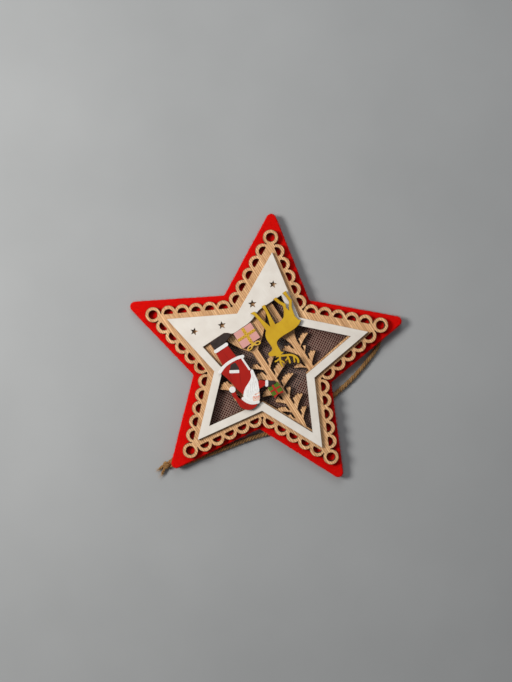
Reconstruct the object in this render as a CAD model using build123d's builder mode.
from build123d import *
import math
import os

# A hanging star ornament: red felt, laser-cut plywood, gauze and jute twine.
# Millimetres. The origin is the star's centre on the flat back of the felt, +Z comes out of
# the front, +Y points to the hanging tip, and +X is to the right as seen from the front.

# ---- driving dimensions ----
FELT_TIP_R = 77.5           # centre to the sharp tip of the felt star, before rounding
FELT_NOTCH_RATIO = 0.484    # notch radius over tip radius
NOTCH_RATIO = 0.4975        # the same for the plywood stars
FELT_TIP_ROUND = 2.6
FELT_NOTCH_ROUND = 1.2
FELT_T = 3.0
FELT_RIM_ROUND = 0.5
FELT_WINDOW_R = 24.0        # round opening behind the gauze

# The gauze and plywood are glued on as one stack, a little off the felt's centre and askew.
# Everything in the stack is drawn about the stack's own origin.
STACK_SHIFT = (0.3, -1.2)
STACK_TURN = 0.6

GAUZE_T = 0.4
GAUZE_TIP_R = 49.0
GAUZE_CLEARANCE = 0.2

LACE_T = 3.0                # natural plywood
LACE_CENTRE = (-0.8, 1.8)
LACE_BASE_DEPTH = 27.25     # centre to the line that the scallops sit on
SCALLOP_R = 3.85
SCALLOP_COUNT = 5           # on each of the ten edges
SCALLOP_FIRST = 18.9        # along an edge, from the foot of its perpendicular
SCALLOP_PITCH = 7.08
EYELET_R = 2.3              # half-round holes in the scallops
EYELET_DEPTH = 26.75        # centre to the flat side of the eyelets
EYELET_CORNER_R = 0.35
RING_R = 4.0                # round eye at each tip
RING_HOLE_R = 2.2
RING_CENTRE_R = 61.5

TRUNK_HALF = 1.8
SPIRE = 7.0                 # height over which a tree narrows to its apex
SLIT_W = 0.8                # the mouth of the hooked slit between a trunk and a branch
SLIT_RISE = 1.9             # how far that slit runs up beside the trunk
LOBE_PITCH = 1.5            # teeth along a branch's lower edge
LOBE_DEPTH = 0.47           # deepest a tooth may hang, as a share of its width
LOBE_DIP = 0.75             # how far the teeth hang, every other one a little less
BRANCH_SAG = 0.17           # bow of the lower edge, as a share of the branch's reach
BRANCH_HOLLOW = 0.36        # how far out and up from the tip the upper edge is drawn in

FRAME_T = 2.0               # white-painted plywood
FRAME_CENTRE = (-0.6, 2.4)
FRAME_TURN = -1.0           # glued on a touch crooked, in degrees
FRAME_TIP_R = 54.3
WINDOW_TIP_R = 45.0
GROUND_Y = -20.0            # level snow line
UNDERLAP = 3.0              # how far the trees and ground run on under the frame

FIGURE_T = 2.0              # painted plywood figures
CORD_R = 1.05               # jute twine
CORD_HOLE_R = 1.6
CORD_Y = 53.2               # the cord's hole, up the top arm
CORD_Z = -1.25              # mid-plane of the folded cord
STOPPER_R = 2.2
STOPPER_GAP = 0.1           # above and below the stopper knot in its pocket
STOPPER_ROUND = 0.5
POCKET_R = 2.6
POCKET_DEPTH = 1.5

# ---- levels, from the back to the front ----
LACE_Z = FELT_T
FRAME_Z = LACE_Z + LACE_T
FIGURE_Z = FRAME_Z + FRAME_T

# Every star edge lies this far from the centre for a tip radius of one.
TIP_HALF_ANGLE = math.atan2(
    NOTCH_RATIO * math.sin(math.pi / 5), 1 - NOTCH_RATIO * math.cos(math.pi / 5)
)
EDGE_DEPTH = math.sin(TIP_HALF_ANGLE)
ARM_ANGLES = [90 + 72 * arm for arm in range(5)]

os.makedirs("parts", exist_ok=True)


def stack_plane(height):
    """The plane of a glued layer at this height above the felt's back."""
    turn = math.radians(STACK_TURN)
    return Plane(origin=(*STACK_SHIFT, height), x_dir=(math.cos(turn), math.sin(turn), 0), z_dir=(0, 0, 1))


def star(tip_r, centre=(0, 0), ratio=NOTCH_RATIO, turn=0.0):
    """A five-pointed star with one tip along +Y, before the turn in degrees."""
    corners = []
    for corner in range(10):
        radius = tip_r if corner % 2 == 0 else tip_r * ratio
        angle = math.radians(90 + turn + 36 * corner)
        corners.append((centre[0] + radius * math.cos(angle), centre[1] + radius * math.sin(angle)))
    with BuildSketch() as outline:
        Polygon(*corners, align=None)
    return outline.sketch


def closed_shape(*points):
    """A face inside a closed smooth curve through the points."""
    with BuildSketch() as shape:
        with BuildLine():
            Spline(*points, periodic=True)
        make_face()
    return shape.sketch


def stroke(points, width):
    """A curved stroke of even width with round ends."""
    with BuildSketch() as shape:
        with BuildLine():
            Spline(*points)
        trace(line_width=width)
        with Locations(points[0], points[-1]):
            Circle(width / 2)
    return shape.sketch


# ---- red felt star ----
with BuildPart() as felt_star:
    with BuildSketch() as felt_outline:
        add(star(FELT_TIP_R, ratio=FELT_NOTCH_RATIO))
        fillet(felt_outline.vertices().sort_by_distance((0, 0, 0))[5:], FELT_TIP_ROUND)
        fillet(felt_outline.vertices().sort_by_distance((0, 0, 0))[:5], FELT_NOTCH_ROUND)
        Circle(FELT_WINDOW_R, mode=Mode.SUBTRACT)
        with Locations((0, CORD_Y)):
            Circle(CORD_HOLE_R, mode=Mode.SUBTRACT)
    extrude(amount=FELT_T)
    # the gauze presses into the front, and the cord's stopper knot sits in a pocket
    with BuildSketch(stack_plane(FELT_T - GAUZE_T)):
        add(star(GAUZE_TIP_R + GAUZE_CLEARANCE, FRAME_CENTRE))
    extrude(amount=GAUZE_T, mode=Mode.SUBTRACT)
    with BuildSketch(Plane.XY.offset(FELT_T - POCKET_DEPTH)):
        with Locations((0, CORD_Y)):
            Circle(POCKET_R)
    extrude(amount=POCKET_DEPTH, mode=Mode.SUBTRACT)
    # softened rims, back and front
    faces_by_height = felt_star.faces().sort_by(Axis.Z)
    rims = faces_by_height[0].outer_wire().edges() + faces_by_height[-1].outer_wire().edges()
    fillet(rims, FELT_RIM_ROUND)
felt_star.part.label = "felt_star"


# ---- gauze across the window ----
with BuildPart() as window_mesh:
    with BuildSketch(stack_plane(FELT_T - GAUZE_T)):
        add(star(GAUZE_TIP_R, FRAME_CENTRE))
    extrude(amount=GAUZE_T)
window_mesh.part.label = "window_mesh"


# ---- trees: a tapered trunk with drooping branches in tiers ----
def branch(side, root, reach, tip, slit):
    """One branch right (+1) or left (-1) of a trunk on the Y axis.

    Its upper edge hollows from the trunk at height root out to the tip. Its lower edge comes
    back in scallops to a slit that hooks up beside the trunk from height slit.
    """
    run = reach - TRUNK_HALF - SLIT_W
    lobes = max(2, round(run / LOBE_PITCH))
    sag = BRANCH_SAG * reach
    start = (side * TRUNK_HALF * 0.6, root)
    end = (side * reach, tip)
    inner = (side * (TRUNK_HALF + SLIT_W), slit)
    drop = root - tip

    def along(t):
        x = end[0] + t * (inner[0] - end[0])
        y = end[1] + t * (inner[1] - end[1]) - 4 * sag * t * (1 - t)
        return x, y

    with BuildSketch() as shape:
        with BuildLine():
            hollow_x = side * (TRUNK_HALF + BRANCH_HOLLOW * (reach - TRUNK_HALF))
            hollow = (hollow_x, tip + BRANCH_HOLLOW * drop)
            Bezier(start, hollow, end)
            for lobe in range(lobes):
                first = along(lobe / lobes)
                last = along((lobe + 1) / lobes)
                dip = along((lobe + 0.55) / lobes)
                hang = min(LOBE_DIP, LOBE_DEPTH * run / lobes) * (1.0 if lobe % 2 else 0.8)
                ThreePointArc(first, (dip[0], dip[1] - hang), last)
            apex = (side * TRUNK_HALF * 0.97, slit + SLIT_RISE)
            belly = (side * (TRUNK_HALF + 0.7 * SLIT_W), slit + 0.45 * SLIT_RISE)
            ThreePointArc(inner, belly, apex)
            Polyline(apex, (0, apex[1]), (0, root), start)
        make_face()
    return shape.sketch


def tree(trunk_x, foot_y, apex_y, left_tiers, right_tiers):
    """A tree standing at trunk_x. A tier is (root height, reach, tip height, slit height)."""
    shoulder = apex_y - SPIRE
    with BuildSketch() as shape:
        with BuildLine():
            Polyline(
                (-TRUNK_HALF, foot_y),
                (-TRUNK_HALF, shoulder),
                (-TRUNK_HALF / 5, apex_y),
                (TRUNK_HALF / 5, apex_y),
                (TRUNK_HALF, shoulder),
                (TRUNK_HALF, foot_y),
                close=True,
            )
        make_face()
        for side, tiers in ((-1, left_tiers), (1, right_tiers)):
            for root, reach, tip, slit in tiers:
                add(branch(side, root, reach, tip, slit))
    with BuildSketch() as placed:
        with Locations((trunk_x, 0)):
            add(shape.sketch)
    return placed.sketch


def skirt(trunk_x, top, foot, half):
    """The lowest tier of a tree: it flares from the trunk at top to a level foot."""
    waist = TRUNK_HALF + 0.3 * (half - TRUNK_HALF)
    waist_y = foot + 0.45 * (top - foot)
    with BuildSketch() as shape:
        with BuildLine():
            ThreePointArc((trunk_x - half, foot), (trunk_x - waist, waist_y), (trunk_x - TRUNK_HALF, top))
            Line((trunk_x - TRUNK_HALF, top), (trunk_x + TRUNK_HALF, top))
            ThreePointArc((trunk_x + TRUNK_HALF, top), (trunk_x + waist, waist_y), (trunk_x + half, foot))
            Line((trunk_x + half, foot), (trunk_x - half, foot))
        make_face()
    return shape.sketch


def tall_tree():
    left = [
        (40.0, 6.4, 35.1, 35.2),
        (34.2, 8.3, 28.6, 28.3),
        (27.5, 5.0, 22.5, 22.0),
        (21.0, 10.1, 17.2, 17.4),
        (14.8, 11.5, 10.4, 10.4),
        (9.0, 7.2, 4.1, 4.4),
    ]
    right = [
        (40.0, 5.6, 34.2, 34.8),
        (34.0, 8.0, 28.8, 29.8),
        (28.8, 5.4, 24.6, 23.4),
        (22.6, 9.8, 18.6, 17.5),
        (14.5, 7.8, 9.3, 8.3),
        (8.0, 6.5, 3.6, 3.3),
    ]
    return tree(1.8, -18.0, 46.0, left, right)


def left_tree():
    left = [
        (19.0, 6.8, 13.8, 13.4),
        (12.6, 4.2, 8.8, 8.2),
        (8.0, 8.6, 4.0, 4.5),
    ]
    right = [
        (19.0, 7.0, 15.1, 15.4),
        (11.8, 7.2, 4.4, 4.6),
    ]
    return tree(-17.3, -22.0, 27.0, left, right)


def right_tree():
    left = [(12.0, 5.0, 8.0, 7.6)]
    right = [
        (18.0, 5.2, 12.2, 11.0),
        (11.0, 8.2, 3.4, 2.4),
    ]
    return tree(19.4, -22.0, 26.0, left, right)


# ---- natural plywood plate: pierced scalloped edge, ground and trees in one sheet ----
def edge_places(depth):
    """A location for each scallop of each edge, turned so that its +Y is the edge's outward normal."""
    places = []
    for arm in ARM_ANGLES:
        for side in (-1, 1):
            normal = math.radians(arm + side * (90 - math.degrees(TIP_HALF_ANGLE)))
            toward_tip = normal - side * math.pi / 2
            for scallop in range(SCALLOP_COUNT):
                run = SCALLOP_FIRST + SCALLOP_PITCH * scallop
                x = depth * math.cos(normal) + run * math.cos(toward_tip)
                y = depth * math.sin(normal) + run * math.sin(toward_tip)
                places.append(Location((x, y), math.degrees(normal) - 90))
    return places


def half_round(radius):
    """An eyelet: the half of a disc above the X axis, with softened corners."""
    with BuildSketch() as shape:
        Circle(radius)
        with Locations((0, -radius)):
            Rectangle(3 * radius, 2 * radius, mode=Mode.SUBTRACT)
        fillet(shape.vertices(), EYELET_CORNER_R)
    return shape.sketch


def window_scene():
    """Ground and trees as they show in the window, run a little under its border."""
    with BuildSketch() as scene:
        with BuildLine():
            ThreePointArc((-17.5, -24.0), (-8.9, -10.8), (0.1, -3.4))
            Line((0.1, -3.4), (3.5, -3.4))
            ThreePointArc((3.5, -3.4), (8.0, -9.6), (14.0, -24.0))
            Line((14.0, -24.0), (-17.5, -24.0))
        make_face()
        # the bank behind the figure's legs
        Polygon((17.8, -4.0), (24.0, -4.0), (28.0, -24.0), (17.0, -24.0), align=None)
        add(tall_tree())
        add(left_tree())
        add(skirt(-17.3, 4.6, -3.2, 5.6))
        add(right_tree())
        add(skirt(19.4, 2.4, -2.4, 3.2))
        add(star(WINDOW_TIP_R + UNDERLAP, LACE_CENTRE), mode=Mode.INTERSECT)
    return scene.sketch


def plate_window():
    """The star window of the natural plate, which stops under the snow."""
    with BuildSketch() as window:
        add(star(WINDOW_TIP_R, LACE_CENTRE))
        with Locations((0, GROUND_Y - 52.0)):
            Rectangle(120, 100, mode=Mode.SUBTRACT)
    return window.sketch


with BuildPart() as lace_plate:
    with BuildSketch(stack_plane(LACE_Z)):
        with Locations(LACE_CENTRE):
            add(star(LACE_BASE_DEPTH / EDGE_DEPTH))
            with Locations(*edge_places(LACE_BASE_DEPTH)):
                Circle(SCALLOP_R)
            with PolarLocations(RING_CENTRE_R, 5, start_angle=90):
                Circle(RING_R)
            with Locations(*edge_places(EYELET_DEPTH)):
                add(half_round(EYELET_R), mode=Mode.SUBTRACT)
            with PolarLocations(RING_CENTRE_R, 5, start_angle=90):
                Circle(RING_HOLE_R, mode=Mode.SUBTRACT)
        add(plate_window(), mode=Mode.SUBTRACT)
        add(window_scene())
    extrude(amount=LACE_T)
lace_plate.part.label = "lace_plate"


# ---- white snow frame ----
SNOW_STARS = [
    ((-10.3, -24.4), 2.15, 8),
    ((-24.6, -27.0), 1.95, -4),
    ((8.7, -23.9), 2.05, 12),
    ((22.3, -29.0), 1.95, -8),
]


def snow_ground():
    """Everything below the snow line, with its low drift in the middle."""
    level = GROUND_Y
    low = GROUND_Y - 30.0
    drift = [(-13.0, level), (-7.6, level + 1.6), (-3.2, level + 2.75), (1.6, level + 2.85),
             (6.2, level + 2.75), (8.4, level + 1.5), (10.4, level)]
    with BuildSketch() as ground:
        with BuildLine():
            Polyline((-60, low), (-60, level), drift[0])
            Spline(*drift, tangents=[(1, 0), (1, 0)])
            Polyline(drift[-1], (60, level), (60, low), (-60, low))
        make_face()
    return ground.sketch


def frame_window():
    with BuildSketch() as window:
        add(star(WINDOW_TIP_R, FRAME_CENTRE, turn=FRAME_TURN))
        add(snow_ground(), mode=Mode.SUBTRACT)
    return window.sketch


with BuildPart() as snow_frame:
    with BuildSketch(stack_plane(FRAME_Z)):
        add(star(FRAME_TIP_R, FRAME_CENTRE, turn=FRAME_TURN))
        add(frame_window(), mode=Mode.SUBTRACT)
        for centre, size, turn in SNOW_STARS:
            add(star(size, centre, 0.45, turn), mode=Mode.SUBTRACT)
    extrude(amount=FRAME_T)
snow_frame.part.label = "snow_frame"


# ---- painted figures, glued over the frame ----
def capsule(start, end, width):
    """A straight bar with round ends."""
    with BuildSketch() as shape:
        SlotCenterToCenter(math.dist(start, end), width)
    middle = ((start[0] + end[0]) / 2, (start[1] + end[1]) / 2)
    lean = math.degrees(math.atan2(end[1] - start[1], end[0] - start[0]))
    with BuildSketch() as placed:
        with Locations(Location(middle, lean)):
            add(shape.sketch)
    return placed.sketch


with BuildPart() as santa_figure:
    with BuildSketch(stack_plane(FIGURE_Z)):
        # boots, trouser cuffs and trousers
        Polygon((7.2, -17.5), (8.2, -16.8), (11.9, -15.6), (12.2, -14.6), (18.8, -14.6), (18.8, -19.5),
                (18.3, -19.9), (9.8, -19.9), (8.3, -19.0), align=None)
        add(capsule((12.2, -14.4), (18.5, -14.4), 2.0))
        Polygon((11.2, -5.5), (19.7, -5.5), (19.0, -14.2), (11.9, -14.2), align=None)
        # coat with its flared hem
        add(stroke([(8.5, -4.7), (11.5, -5.6), (15.6, -6.0), (19.5, -5.6), (22.8, -4.3)], 1.7))
        Polygon((8.8, -4.8), (8.8, 4.0), (10.2, 9.0), (18.9, 11.8), (19.8, 9.3), (20.5, 5.5), (20.9, 2.2),
                (21.7, -1.0), (22.7, -4.2), (15.6, -6.0), align=None)
        # beard and head
        add(closed_shape((8.35, 3.0), (8.3, 6.5), (8.9, 10.2), (10.2, 13.0), (11.6, 15.5), (13.6, 18.4),
                         (17.0, 18.3), (19.6, 13.4), (17.9, 10.2), (14.5, 8.2), (11.6, 6.8), (9.8, 4.8)))
        # hat: brim, drooping point and pompom
        add(stroke([(14.7, 18.9), (17.4, 17.8), (19.3, 15.6), (20.2, 13.2)], 1.8))
        add(closed_shape((15.0, 19.3), (17.6, 20.4), (20.6, 19.9), (22.8, 18.0), (23.8, 15.2), (23.7, 12.0),
                         (23.0, 7.4), (21.9, 7.4), (21.9, 10.6), (20.8, 14.2), (18.6, 17.2)))
        with Locations((22.2, 6.5)):
            Circle(1.65)
        # raised arm, cuff and mitten, holding up a parcel
        Polygon((10.0, 10.6), (8.0, 9.9), (5.8, 11.9), (6.4, 14.3), (7.4, 13.8), (10.6, 13.8), align=None)
        add(capsule((5.3, 12.6), (6.4, 14.2), 1.6))
        Polygon((5.3, 12.5), (3.4, 13.4), (1.6, 14.6), (1.5, 16.2), (6.0, 16.2), (6.4, 14.4), align=None)
        with Locations(Location((3.9, 18.2), -2)):
            RectangleRounded(6.0, 5.3, 0.25)
        Polygon((1.0, 22.0), (3.9, 21.3), (6.7, 22.1), (6.3, 20.4), (1.3, 20.4), align=None)
    extrude(amount=FIGURE_T)
santa_figure.part.label = "santa_figure"


with BuildPart() as reindeer_figure:
    with BuildSketch(stack_plane(FIGURE_Z)):
        # body, neck and head in one sweep
        add(closed_shape((-24.4, -2.8), (-19.0, -2.0), (-12.6, -2.1), (-10.0, -1.2), (-9.2, 2.6), (-8.5, 5.0),
                         (-7.2, 5.8), (-5.4, 4.2), (-3.1, 2.9), (-3.1, 1.3), (-5.6, 0.8), (-6.4, -1.0),
                         (-6.3, -4.6), (-8.2, -8.8), (-11.6, -9.7), (-18.4, -9.4), (-22.6, -11.0), (-24.8, -7.6)))
        # tail and ears
        Polygon((-24.0, -2.4), (-26.5, -3.9), (-24.5, -5.6), align=None)
        Polygon((-8.4, 5.2), (-10.3, 4.9), (-8.9, 3.8), align=None)
        Polygon((-7.0, 5.6), (-5.0, 5.0), (-6.6, 4.2), align=None)
        # front legs
        Polygon((-11.8, -8.8), (-10.2, -14.4), (-9.3, -19.2), (-8.9, -20.6), (-6.8, -20.9), (-7.8, -18.9),
                (-8.5, -14.6), (-8.6, -8.8), align=None)
        Polygon((-14.3, -8.8), (-14.6, -13.6), (-15.0, -17.0), (-15.3, -20.6), (-13.5, -20.7),
                (-13.6, -17.4), (-13.0, -14.3), (-11.2, -8.8), align=None)
        # hind legs
        Polygon((-24.6, -8.4), (-23.6, -13.3), (-24.4, -15.1), (-22.9, -17.6), (-22.1, -20.6), (-20.4, -20.6),
                (-21.5, -17.2), (-22.6, -14.9), (-21.5, -12.4), (-19.2, -9.0), align=None)
        Polygon((-24.8, -6.8), (-26.1, -12.0), (-28.1, -14.9), (-27.9, -18.0), (-28.0, -20.6), (-26.1, -20.6),
                (-26.5, -17.6), (-26.6, -15.2), (-24.8, -12.8), (-23.2, -9.8), align=None)
        # antlers: two beams, each with its tines
        add(stroke([(-7.7, 5.4), (-9.6, 6.6), (-12.2, 8.0), (-13.7, 9.9), (-14.1, 11.6), (-13.5, 13.2)], 1.15))
        add(stroke([(-13.3, 9.2), (-12.7, 10.6), (-12.0, 12.0)], 0.9))
        add(stroke([(-10.6, 7.0), (-10.4, 9.2), (-9.8, 11.1)], 0.95))
        add(stroke([(-10.4, 8.2), (-9.6, 8.7), (-8.7, 8.9)], 0.75))
        add(stroke([(-7.6, 5.4), (-6.4, 7.2), (-5.8, 8.8), (-5.6, 10.4)], 1.05))
        add(stroke([(-6.8, 6.4), (-5.4, 6.7), (-3.9, 6.6)], 0.85))
        add(stroke([(-6.1, 7.6), (-7.0, 8.5), (-7.2, 9.6)], 0.75))
    extrude(amount=FIGURE_T)
reindeer_figure.part.label = "reindeer_figure"


with BuildPart() as gift_parcel:
    with BuildSketch(stack_plane(FRAME_Z)):
        with Locations((1.0, -12.45)):
            RectangleRounded(10.6, 9.1, 0.3)
        # bow: two open loops and a knot
        with Locations(Location((-1.4, -6.3), -14)):
            Ellipse(1.9, 1.25)
        with Locations(Location((3.0, -6.3), 14)):
            Ellipse(1.9, 1.1)
        with Locations((0.8, -7.1)):
            Rectangle(1.6, 2.2)
        with Locations(Location((-1.6, -6.2), -14)):
            Ellipse(0.9, 0.42, mode=Mode.SUBTRACT)
        with Locations(Location((3.2, -6.1), 14)):
            Ellipse(0.85, 0.34, mode=Mode.SUBTRACT)
    extrude(amount=FRAME_T)
gift_parcel.part.label = "gift_parcel"


# ---- jute hanging cord ----
# The neck passes through the felt. Its stopper knot lies in the pocket under the plywood.
STOPPER_Z = FELT_T - POCKET_DEPTH + STOPPER_GAP
STOPPER_T = POCKET_DEPTH - 2 * STOPPER_GAP
NECK_LENGTH = STOPPER_Z + STOPPER_GAP * 3 - CORD_Z

with BuildPart() as cord_stem:
    with Locations((0, CORD_Y, CORD_Z)):
        Sphere(CORD_R)
        Cylinder(CORD_R, NECK_LENGTH, align=(Align.CENTER, Align.CENTER, Align.MIN))
    with Locations((0, CORD_Y, STOPPER_Z)):
        Cylinder(STOPPER_R, STOPPER_T, align=(Align.CENTER, Align.CENTER, Align.MIN))
    fillet(cord_stem.edges().filter_by(GeomType.CIRCLE).group_by(SortBy.RADIUS)[-1], STOPPER_ROUND)
cord_stem.part.label = "cord_stem"

# The loop starts and ends on either side of the neck and lies folded behind the star.
KNOT = (73.2, 20.2)
KNOT_R = 1.95
KNOT_TILT = (37, 37, 0)      # the wraps lie across the cord
LOOP_START = 2.2
SHORT_SIDE = [
    (LOOP_START, CORD_Y), (8.0, 44.0), (19.8, 35.2), (34.0, 31.2), (45.0, 29.0), (55.0, 27.0),
    (64.0, 25.0), (69.0, 23.2), KNOT,
]
LONG_SIDE = [
    (-LOOP_START, CORD_Y), (-8.0, 44.0), (-19.0, 37.4), (-32.0, 35.0), (-45.5, 31.0), (-56.0, 24.4),
    (-54.0, 15.6), (-41.0, 5.0), (-31.0, -10.0), (-22.0, -26.0), (0.0, -30.0), (22.0, -26.0),
    (31.0, -10.0), (41.0, 3.0), (55.0, 13.0), (66.0, 19.4), KNOT,
]
TAILS = [[KNOT, (77.7, 22.8)], [KNOT, (77.6, 20.0)]]
TAIL_R = 0.8


def twine(points, radius):
    """A round length of twine through the points, in the cord's mid-plane, with a rounded start."""
    with BuildPart() as length:
        with BuildLine(Plane.XY.offset(CORD_Z)) as path:
            Spline(*points)
        with BuildSketch(Plane(origin=path.line @ 0, z_dir=path.line % 0)):
            Circle(radius)
        sweep(path=path.line)
        with Locations(path.line @ 0):
            Sphere(radius)
    return length.part


lengths = [twine(SHORT_SIDE, CORD_R), twine(LONG_SIDE, CORD_R)]
lengths += [twine(tail, TAIL_R) for tail in TAILS]

with BuildPart() as hanging_cord:
    with Locations(Location((*KNOT, CORD_Z - CORD_R + KNOT_R), KNOT_TILT)):
        Sphere(KNOT_R)
    for length in lengths:
        add(length)
hanging_cord.part.label = "hanging_cord"


for piece in (felt_star, window_mesh, lace_plate, snow_frame, santa_figure, reindeer_figure, gift_parcel,
              cord_stem, hanging_cord):
    export_step(piece.part, f"parts/{piece.part.label}.step")
